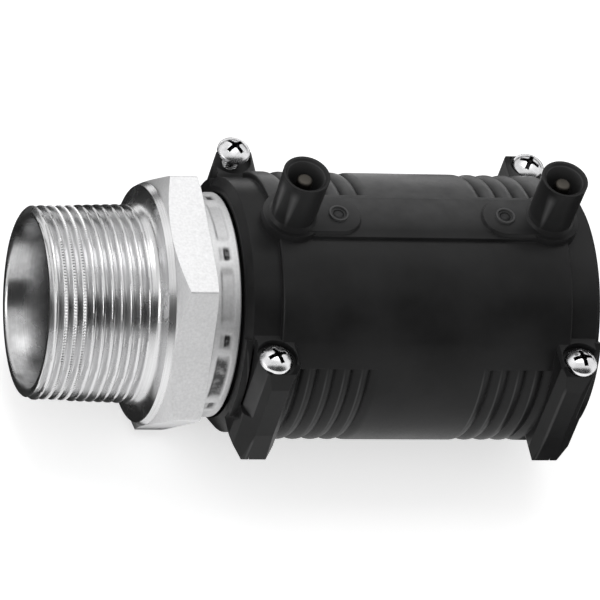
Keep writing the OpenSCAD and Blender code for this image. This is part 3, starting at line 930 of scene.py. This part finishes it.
@dataclass
class HeatingWire:
    """One wire from pin to pin, wound in both fusion zones."""

    path_r: float = 26.05
    wire_r: float = 0.55
    start: float = 63.4
    turns: int = 9
    pitch: float = 2.2
    per_turn: int = 72
    sides: int = 10
    link_steps: int = 8

    def path(self) -> tuple[Array, Array]:
        """Axial places and angles along the wire.

        Each zone is a helix: one pitch along the axis for each turn. Straight runs at angle 0
        join the zones to each other and to the terminal pins.
        """
        steps = np.arange(self.turns * self.per_turn + 1) / self.per_turn
        second_start = 2 * MIDDLE - self.start - self.turns * self.pitch
        first, second = (zone + self.pitch * steps for zone in (self.start, second_start))
        run = np.linspace(0.15, 0.85, self.link_steps)
        between = first[-1] + (second[0] - first[-1]) * run
        x = np.r_[MIDDLE - TERMINAL_OFF, first, between, second, MIDDLE + TERMINAL_OFF]
        held = np.full(self.link_steps, self.turns)
        turn = np.r_[0, steps, held, steps + self.turns, 2 * self.turns]
        return x, turn * 2 * math.pi

    def build(self, copper: Material) -> None:
        """Carries a circle along the path, its frame taken from the radial direction."""
        x, phi = self.path()
        centre = on_axis(x, np.full_like(x, self.path_r), phi)
        along = np.gradient(centre, axis=0)
        along /= np.linalg.norm(along, axis=1, keepdims=True)
        out = on_axis(np.zeros_like(x), np.ones_like(x), phi)
        side = np.cross(along, out)
        side /= np.linalg.norm(side, axis=1, keepdims=True)
        out = np.cross(side, along)
        turn = around(self.sides)[None, :, None]
        ring = np.cos(turn) * out[:, None, :] + np.sin(turn) * side[:, None, :]
        points = centre[:, None, :] + self.wire_r * ring
        skin = Skin("winding", points, closed_rows=False, sharp_deg=60)
        skin.settle(copper, "heating_wire")


@dataclass
class ClampScrew:
    """A pan-head screw with a cross recess and a threaded shank."""

    lift: float = 0.0
    turn_deg: float = 0.0
    seat: float = 16.55
    head_d: float = 8.2
    head_h: float = 2.9
    edge: float = 0.9
    shank_d: float = 4.0
    length: float = 30.0
    pitch: float = 0.7
    thread_depth: float = 0.36
    row_step: float = 0.14
    recess_half: float = 2.5
    recess_w: float = 0.44
    recess_depth: float = 1.5
    hub_r: float = 0.75
    shank_shade: float = 0.65
    columns: int = 160

    def head_rows(self, phi: Array) -> tuple[Array, Array, Array]:
        """The head from its crown down to its underside.

        The crown is a sphere's cap over a short cylinder. The cross recess is two crossed
        grooves whose floor rises towards their ends, pressed into the cap.

        Args:
            phi: angles of the grid.

        Returns:
            Heights, radii and the painted shade of the recess, by how far each point lies in it,
            one row per station.
        """
        edge_r = self.head_d / 2
        crown = self.head_h - self.edge
        ball = (edge_r**2 + crown**2) / (2 * crown)
        r = np.r_[np.linspace(0.05, 2.9, 48), np.linspace(3.05, edge_r - 0.12, 7)][:, None]
        turned = phi - math.radians(self.turn_deg)
        u, v = np.abs(r * np.cos(turned)), np.abs(r * np.sin(turned))
        near, far = np.minimum(u, v), np.maximum(u, v)
        arm = window(near, self.recess_w - 0.08, 0.16) * window(far, self.recess_half - 0.2, 0.2)
        hub = window(np.hypot(u, v), self.hub_r, 0.2)
        recess = np.maximum(arm * (1.0 - 0.4 * far / self.recess_half), hub)
        z = self.head_h - ball + np.sqrt(ball**2 - r**2) - self.recess_depth * recess
        under = outline([
            (0.82, edge_r), (0.15, edge_r), (0.0, edge_r - 0.15), (0.0, self.shank_d / 2),
        ])
        return *stacked(phi, (z, r), under), padded(smooth(recess, 0.1, 0.3), under[0])

    def shank_rows(self, phi: Array) -> tuple[Array, Array]:
        """The threaded shank: a triangle wave that climbs one pitch each turn, then the point."""
        z = np.arange(-self.row_step, -self.length + 1.2, -self.row_step)[:, None]
        turn = z / self.pitch - phi[None, :] / (2 * math.pi)
        away = np.abs(turn - np.round(turn))
        r = self.shank_d / 2 - self.thread_depth * smooth(away, 0.08, 0.45)
        end = -self.length
        return stacked(phi, (z, r), outline([(end + 0.9, 1.55), (end + 0.1, 1.2), (end, 0.9)]))

    def build(self, zinc: Material, site: Site) -> None:
        """Builds one screw in its lug."""
        phi = around(self.columns)
        head_z, head_r, pressed = self.head_rows(phi)
        shank = self.shank_rows(phi)
        z, r = stacked(phi, (head_z, head_r), shank)
        points = site.move(upright(r, z, phi), self.seat + self.lift)
        # Painted shade: the cross recess nearly black, and the shank darkened along its length.
        marks = {"pressed": padded(pressed, shank[0], self.shank_shade)}
        skin = Skin(f"pan_screw_{site.name}", points, closed_rows=False, sharp_deg=40, marks=marks)
        skin.settle(zinc, f"clamp_screw_{site.name}")


@dataclass
class ClampNut:
    """A hexagon nut with bevelled faces."""

    top: float = -10.2
    height: float = 3.2
    flats: float = 7.0
    bore_r: float = 2.05
    mouth: float = 0.35
    per_side: int = 16

    def build(self, zinc: Material, site: Site) -> None:
        """Builds one nut as a closed skin: a hexagon whose corners a cone cuts at both faces."""
        phi = corner_angles(0.0, self.per_side)
        body = hexagon(phi, self.flats, 0.0, 160.0)
        ease = 0.5 * (body - self.flats / 2)
        low, top = self.top - self.height, self.top
        face_r, mouth_r = self.flats / 2 - 0.05, self.bore_r + self.mouth
        rest = outline([
            (top, face_r), (top, mouth_r), (top - self.mouth, self.bore_r),
            (low + self.mouth, self.bore_r), (low, mouth_r), (low, face_r),
        ])
        z, r = stacked(phi, (np.stack([low + ease, top - ease]), body), rest)
        skin = Skin(f"hexagon_nut_{site.name}", site.move(upright(r, z, phi)))
        skin.settle(zinc, f"clamp_nut_{site.name}")


@dataclass
class TerminalPin:
    """A turned contact pin with a domed tip and a flange in the moulding."""

    radius: float = 2.0
    neck_r: float = 1.5
    foot: float = 26.65
    full_z: float = 36.9
    tip: float = 47.0
    dome: float = 0.8
    flange_z: float = 30.15
    flange_t: float = 1.2
    columns: int = 56

    def build(self, pin_metal: Material, site: Site) -> None:
        """Builds one pin: a turned outline whose tip is a quarter circle."""
        angle = np.radians(np.linspace(90.0, 8.0, 9))
        dome_z, dome_r = self.tip - self.dome, self.radius - self.dome
        flange_r, flange_top = self.radius + 1.0, self.flange_z + self.flange_t
        z, r = outline([
            (self.foot, self.neck_r - 0.3), (self.foot + 0.3, self.neck_r),
            (self.flange_z, self.neck_r), (self.flange_z, flange_r),
            (flange_top, flange_r), (flange_top, self.neck_r),
            (self.full_z, self.neck_r), (self.full_z, self.radius),
            *((dome_z + self.dome * math.cos(a), dome_r + self.dome * math.sin(a)) for a in angle),
        ])
        points = site.move(upright(r, z, around(self.columns)))
        skin = Skin(f"contact_pin_{site.name}", points, closed_rows=False)
        skin.settle(pin_metal, f"terminal_pin_{site.name}")


@dataclass
class IndicatorPeg:
    """A fusion indicator peg with a domed head."""

    radius: float = 1.3
    low: float = 29.0
    top: float = 34.6
    dome: float = 0.45
    columns: int = 40

    def build(self, plastic: Material, site: Site) -> None:
        """Builds one peg: a plain shaft whose head is part of a circle."""
        angle = np.radians(np.linspace(70.0, 5.0, 7))
        dome_z = self.top - self.dome
        z, r = outline([
            (self.low, self.radius - 0.2), (self.low + 0.2, self.radius),
            (self.top - 0.35, self.radius),
            *((dome_z + self.dome * math.cos(a), self.radius * math.sin(a)) for a in angle),
        ])
        points = site.move(upright(r, z, around(self.columns)))
        skin = Skin(f"fusion_peg_{site.name}", points, closed_rows=False)
        skin.settle(plastic, f"indicator_{site.name}")


# Studio


def panel(name: str, size: Pair, height: float, material: Material) -> bpy.types.Object:
    """A level rectangle of one face, in metres, kept off the part as a stage object.

    Args:
        name: for the object and its mesh.
        size: its two lengths.
        height: its place along Z.
        material: what it is dressed in.

    Returns:
        The object.
    """
    half_w, half_d = size[0] / 2, size[1] / 2
    mesh = bpy.data.meshes.new(name)
    corners = ((-half_w, -half_d), (half_w, -half_d), (half_w, half_d), (-half_w, half_d))
    mesh.from_pydata([(x, y, height) for x, y in corners], [], [(0, 1, 2, 3)])
    mesh.materials.append(material)
    item = link(name, mesh)
    item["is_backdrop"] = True
    return item


@dataclass(frozen=True)
class PhotoCamera:
    """The camera of the photograph, in the row frame, its place in millimetres."""

    lens: float = 364.05
    sensor: float = 36.0
    clip: Pair = (0.05, 20.0)
    place: Triple = (-372.52, -918.61, 1087.49)
    right: Triple = (0.95497, -0.18289, 0.23362)
    ahead: Triple = (0.29650, 0.61696, -0.72899)

    def build(self) -> None:
        """Makes the camera and makes it the scene's own."""
        ahead = Vector(self.ahead).normalized()
        right = Vector(self.right)
        right = (right - ahead * right.dot(ahead)).normalized()
        data = bpy.data.cameras.new("photo_camera")
        data.lens = self.lens
        data.sensor_width = self.sensor
        data.clip_start, data.clip_end = self.clip
        camera = link("photo_camera", data)
        turn = Matrix((right, right.cross(ahead), -ahead)).transposed().to_4x4()
        camera.matrix_world = Matrix.Translation(Vector(self.place) * MM) @ turn
        bpy.context.scene.camera = camera


@dataclass(frozen=True)
class Softbox:
    """An area lamp, in metres and watts."""

    name: str
    place: Triple
    size: Pair
    power: float

    def build(self, target: Vector) -> None:
        """Makes the lamp and turns it to the target."""
        data = bpy.data.lights.new(self.name, "AREA")
        data.shape = "RECTANGLE"
        data.size, data.size_y = self.size
        data.energy = self.power
        lamp = link(self.name, data)
        lamp.location = self.place
        lamp.rotation_mode = "QUATERNION"
        lamp.rotation_quaternion = (target - Vector(self.place)).to_track_quat("-Z", "Y")


@dataclass(frozen=True)
class DarkCard:
    """A dark card that only reflections see, as a flag in a product studio."""

    name: str
    place: Triple
    size: Pair
    shade: float = 0.02

    def build(self, target: Vector) -> None:
        """Makes the card and turns it to the target."""
        glow = NodeSheet.material(self.name).finish("ShaderNodeEmission", (self.shade,) * 3, 1.0)
        card = panel(self.name, self.size, 0.0, glow)
        aim = (target - Vector(self.place)).to_track_quat("-Z", "Y")
        card.matrix_world = Matrix.Translation(self.place) @ aim.to_matrix().to_4x4()
        for kind in ("camera", "diffuse", "transmission", "shadow", "volume_scatter"):
            setattr(card, f"visible_{kind}", False)


@dataclass(frozen=True)
class Studio:
    """A pale floor, a white surround, soft lamps and dark cards.

    Lying cards face up from just over the fitting's lowest point: name, X, Y and size.
    """

    world_light: float = 0.52
    floor_glow: float = 0.6
    floor_color: Triple = (0.85, 0.85, 0.85)
    floor_size: Pair = (6.0, 6.0)
    floor_drop: float = 0.0002
    lamps: tuple[Softbox, ...] = (
        Softbox("softbox_top", (0.1, 0.35, 1.15), (0.9, 0.6), 3.3),
        Softbox("strip_left", (-0.85, -0.24, 0.22), (0.4, 0.16), 1.2),
    )
    cards: tuple[DarkCard, ...] = (
        DarkCard("card_front", (0.05, -0.64, 0.5), (2.3, 0.62)),
        DarkCard("card_left_front", (-0.8, -0.3, 0.06), (0.5, 0.2)),
        DarkCard("card_back", (0.31, 0.72, 0.12), (1.8, 0.2)),
        DarkCard("card_left", (-0.6, 0.3, 0.035), (1.1, 0.15)),
    )
    lying: tuple[tuple[str, float, float, Pair], ...] = (
        ("card_beside", 0.26, 0.04, (0.26, 0.22)),
        ("card_under", 0.01, 0.085, (0.19, 0.21)),
    )
    lying_lift: float = 0.0006

    def world(self) -> None:
        """A white world for the camera and for reflections, at a plain level for the light."""
        world = bpy.data.worlds.new("surround")
        bpy.context.scene.world = world
        sheet = NodeSheet(world, "ShaderNodeOutputWorld")
        level = sheet.seen().spread(0.0, 1.0, self.world_light)
        sheet.finish("ShaderNodeBackground", (1, 1, 1), level)

    def floor(self, height: float) -> None:
        """A wide pale floor that glows for the camera: it reads white but keeps the shadow."""
        sheet = NodeSheet.material("studio_floor")
        paper = sheet.value(0, "ShaderNodeBsdfDiffuse", self.floor_color)
        glow = sheet.value(0, "ShaderNodeEmission", (1, 1, 1), sheet.seen() * self.floor_glow)
        white = sheet.finish("ShaderNodeAddShader", paper, glow)
        panel("studio_floor", self.floor_size, height, white)

    def build(self, low: Vector, high: Vector) -> None:
        """Builds the whole studio round the box of the fitting.

        Args:
            low: lowest corner of the fitting.
            high: highest corner of the fitting.
        """
        target = (low + high) / 2
        self.world()
        self.floor(low.z - self.floor_drop)
        for item in (*self.lamps, *self.cards):
            item.build(target)
        for name, x, y, size in self.lying:
            DarkCard(name, (x, y, low.z + self.lying_lift), size).build(Vector((x, y, 1.0)))
        bpy.context.scene.view_settings.view_transform = "Standard"


def dress(frame: dict, finishes: dict[str, Moulding]) -> None:
    """Puts the finishes on the CAD nodes that stay.

    Args:
        finishes: a finish for each of these nodes.
    """
    for node, finish in finishes.items():
        mesh = frame["nodes"][node].data
        mesh.materials.clear()
        mesh.materials.append(finish.material())
        LOG.info("%s: CAD node, dressed in %s", node, finish.name)


def main() -> None:
    logging.basicConfig(level=logging.INFO, format="%(name)s: %(message)s")
    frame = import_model()
    PhotoCamera().build()
    Nipple().build(Steel("nipple_steel").material())
    sleeve_steel = Steel(
        "sleeve_steel", grainy_color=(0.7, 0.7, 0.705), rough_turned=0.55, rough_grainy=0.6,
        pressed_tone=0.07,
    )
    CrimpSleeve().build(sleeve_steel.material())
    HeatingWire().build(Metal("wire_copper", (0.72, 0.43, 0.30), 0.3).material())
    zinc = Metal("bright_zinc", (0.80, 0.80, 0.81)).material()
    # Painted shade: the pins' metal is nearly black, for the shade deep inside the shrouds.
    pin_metal = Metal("pin_brass", (0.06, 0.055, 0.048), 0.45).material()
    peg = Moulding("peg_plastic", color=(0.03, 0.03, 0.031), edge=0.1).material()
    screws = {
        (Side.LEFT, Flank.FRONT): ClampScrew(turn_deg=20.0),
        (Side.LEFT, Flank.BACK): ClampScrew(turn_deg=35.0, lift=4.0),
        (Side.RIGHT, Flank.FRONT): ClampScrew(turn_deg=10.0),
        (Side.RIGHT, Flank.BACK): ClampScrew(turn_deg=60.0),
    }
    for side in Side:
        for flank in Flank:
            site = Site(CLAMP_OFF, side, flank)
            screws[side, flank].build(zinc, site)
            ClampNut().build(zinc, site)
        TerminalPin().build(pin_metal, Site(TERMINAL_OFF, side))
        IndicatorPeg().build(peg, Site(INDICATOR_OFF, side))
    rubber = (0.03, 0.03, 0.032)
    dress(frame, {
        # The coupler carries painted light: a sheen, highlights and lifted shade.
        "coupler_body": Moulding("coupler_moulding", painted_light=PaintedLight()),
        "pe_stub": Moulding("stub_plastic", roughness=0.3),
        "o_ring_inner": Moulding("ring_rubber", color=rubber, roughness=0.6),
        "o_ring_outer": Moulding("ring_rubber_outer", color=rubber, roughness=0.6),
    })
    low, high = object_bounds()
    Studio().build(low, high)


if __name__ == "__main__":
    main()
